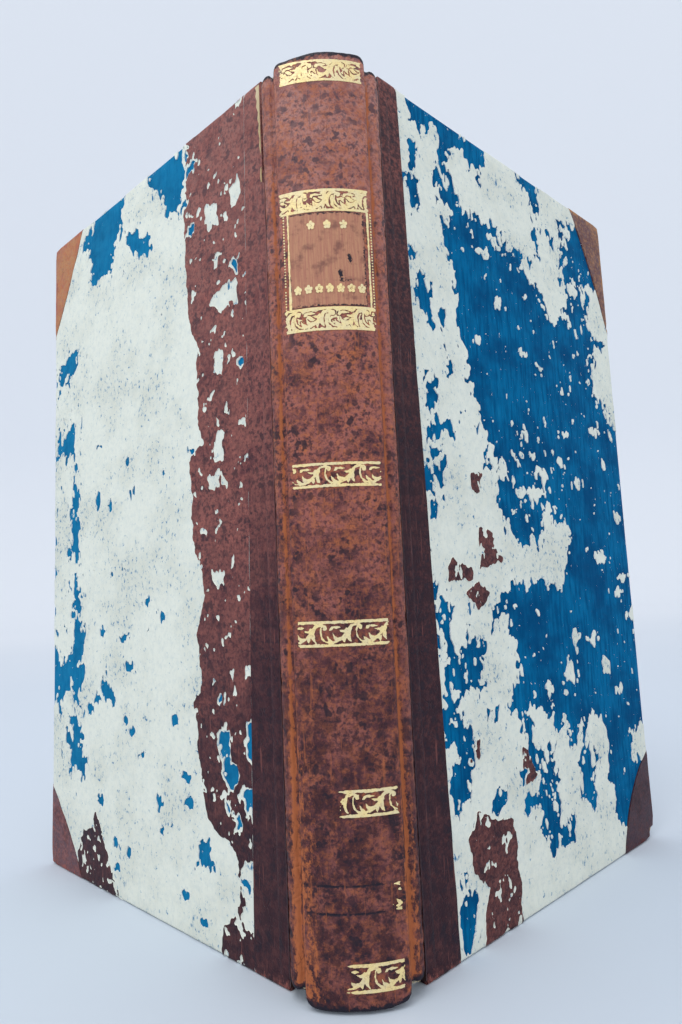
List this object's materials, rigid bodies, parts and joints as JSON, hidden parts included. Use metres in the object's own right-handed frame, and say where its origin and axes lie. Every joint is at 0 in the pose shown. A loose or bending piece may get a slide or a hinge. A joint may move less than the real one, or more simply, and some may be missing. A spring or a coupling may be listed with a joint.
{
  "type": "antique leather book",
  "caption": "Small half-leather book standing on its tail with both covers part open, a smooth gilt spine, torn blue paper sides and leather corners.",
  "frame": {"origin": "on the ground below the middle of the bounding box of the standing book, covers open as at rest", "axes": "+Z from tail to head, +Y from the spine towards the fore-edge of the leaves, +X towards the front cover"},
  "size_m": [0.159, 0.0966, 0.17],
  "materials": {
    "leaves": "matt, aged, trimmed edges",
    "endpaper": "matt, aged, laid",
    "hemp_cord": "matt twisted thread",
    "endband_thread": "matt sewn thread",
    "lining_card": "matt",
    "mottled_leather": "polished, sprinkled dark, rubbed orange at the ridges",
    "strip_leather": "polished, mottled dark",
    "corner_leather": "worn, mottled",
    "label_leather": "smooth, fine upright grain",
    "gold_leaf": "old gold leaf, partly worn off",
    "pasteboard": "matt, fibrous",
    "blue_paper": "brushed blue, slightly glazed",
    "torn_paper": "matt torn core with a brown glazed face in places"
  },
  "bodies": {
    "book_block": {"text_block": "leaves", "front_flyleaf": "endpaper", "back_flyleaf": "endpaper", "sewing_cords": "hemp_cord", "head_endband": "endband_thread", "tail_endband": "endband_thread", "spine_lining": "lining_card", "spine_leather": "mottled_leather", "title_label": "label_leather", "gilt_bands": "gold_leaf"},
    "front_cover": {"front_board": "pasteboard", "front_cord_slips": "hemp_cord", "front_leather_strip": "strip_leather", "front_head_corner": "corner_leather", "front_tail_corner": "corner_leather", "front_side_paper": "blue_paper", "front_torn_paper": "torn_paper", "front_pastedown": "endpaper"},
    "back_cover": {"back_board": "pasteboard", "back_cord_slips": "hemp_cord", "back_leather_strip": "strip_leather", "back_head_corner": "corner_leather", "back_tail_corner": "corner_leather", "back_side_paper": "blue_paper", "back_torn_paper": "torn_paper", "back_pastedown": "endpaper"}
  },
  "joints": [
    {"name": "front_cover_hinge", "type": "hinge", "parent": "book_block", "child": "front_cover", "pos_m": [0.01172, -0.04111, 0.085], "axis": [0, 0, -1], "range_deg": [-47.5, 132.5]},
    {"name": "back_cover_hinge", "type": "hinge", "parent": "book_block", "child": "back_cover", "pos_m": [-0.01172, -0.04111, 0.085], "axis": [0, 0, 1], "range_deg": [-47.5, 132.5]}
  ]
}
